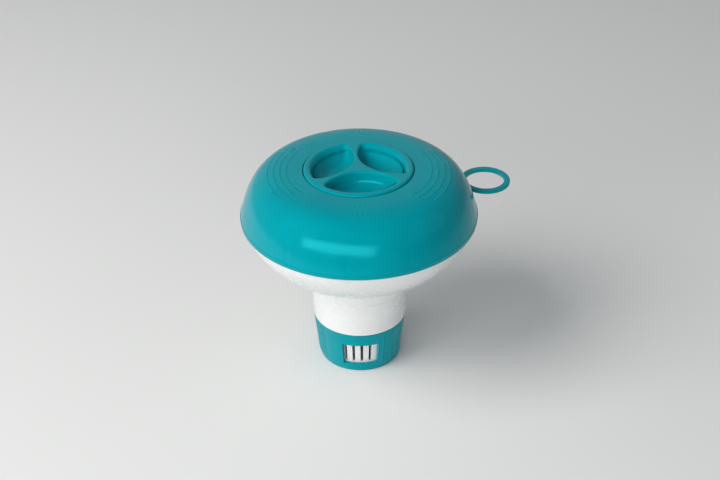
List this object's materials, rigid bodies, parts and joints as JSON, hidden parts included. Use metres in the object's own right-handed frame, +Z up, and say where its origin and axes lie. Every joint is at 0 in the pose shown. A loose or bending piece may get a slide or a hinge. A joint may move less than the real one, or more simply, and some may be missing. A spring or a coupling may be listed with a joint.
{
  "type": "floating chlorine dispenser",
  "caption": "Floating pool chlorine dispenser: a domed round float with a twist-off cap over a tablet tube, and a windowed cup at its foot that turns to set the flow.",
  "frame": {"origin": "centre of the flow control cup's flat base, which the dispenser stands on when it is out of the water", "axes": "+Z up along the axis of the tube and the cap, +X from that axis towards the tether ring"},
  "size_m": [0.1545, 0.127, 0.118],
  "materials": {
    "teal_plastic": "glossy injection moulded",
    "white_plastic": "glossy injection moulded",
    "seal_rubber": "matt"
  },
  "bodies": {
    "float": {"upper_float_shell": "teal_plastic", "lower_float_shell": "white_plastic", "tablet_chamber": "white_plastic", "tether_ring": "teal_plastic"},
    "cap_seal": {"cap_gasket": "seal_rubber"},
    "cap": {"screw_cap": "teal_plastic"},
    "flow_cup": {"flow_control_cup": "teal_plastic"}
  },
  "joints": [
    {"name": "cap_lift", "type": "slide", "parent": "float", "child": "cap_seal", "axis": [0, 0, 1], "range_m": [0, 0.03]},
    {"name": "cap_turn", "type": "hinge", "parent": "cap_seal", "child": "cap", "pos_m": [0, 0, 0.107], "axis": [0, 0, 1], "range_deg": [0, 360]},
    {"name": "cup_turn", "type": "hinge", "parent": "float", "child": "flow_cup", "pos_m": [0, 0, 0.013], "axis": [0, 0, 1], "range_deg": [-4, 56]}
  ],
  "couplings": [
    {"joint": "cap_lift", "follows": "cap_turn", "m_per_rad": 0.0047746}
  ]
}
